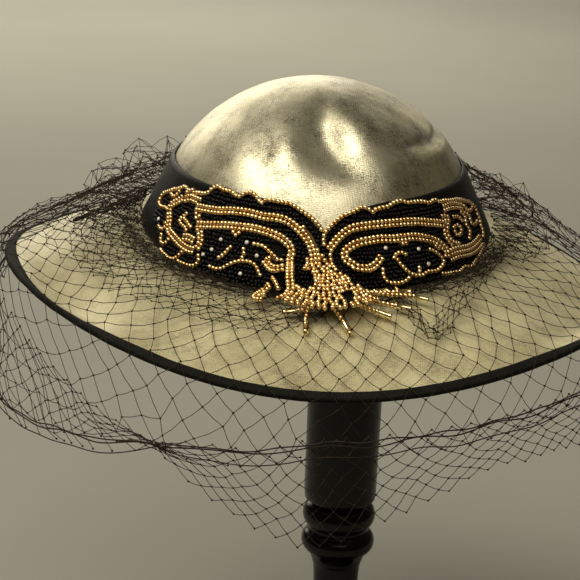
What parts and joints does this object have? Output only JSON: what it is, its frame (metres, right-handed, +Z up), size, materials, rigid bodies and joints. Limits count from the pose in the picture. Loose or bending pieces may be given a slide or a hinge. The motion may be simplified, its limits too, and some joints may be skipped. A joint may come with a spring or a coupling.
{
  "type": "wide-brim hat on a turned stand",
  "caption": "Wide-brim dress hat of metallic cloth with a dark satin band, beaded front ornament and net veil, displayed on a plain turned wooden stand.",
  "frame": {"origin": "centre of the stand's foot, on the surface it stands on", "axes": "+Z up; the hat's front looks along -Y; +X is to the right seen from the front"},
  "size_m": [0.3427, 0.3682, 0.3827],
  "materials": {
    "gold_cloth": "worn metallic cloth, soft sheen",
    "black_satin": "satin ribbon",
    "black_braid": "ribbed ribbon, matte",
    "black_beading": "cloth covered with dark beads",
    "gold_beads": "metallised seed beads",
    "net_thread": "fine matte thread",
    "black_lacquer": "gloss lacquer"
  },
  "bodies": {
    "root": {"crown": "gold_cloth", "brim": "gold_cloth", "satin_band": "black_satin", "brim_binding": "black_braid", "beaded_ornament": "black_beading", "bead_tassel": "gold_beads", "net_veil": "net_thread", "stand_head": "black_lacquer", "stand_post": "black_lacquer", "stand_foot": "black_lacquer"}
  },
  "joints": []
}
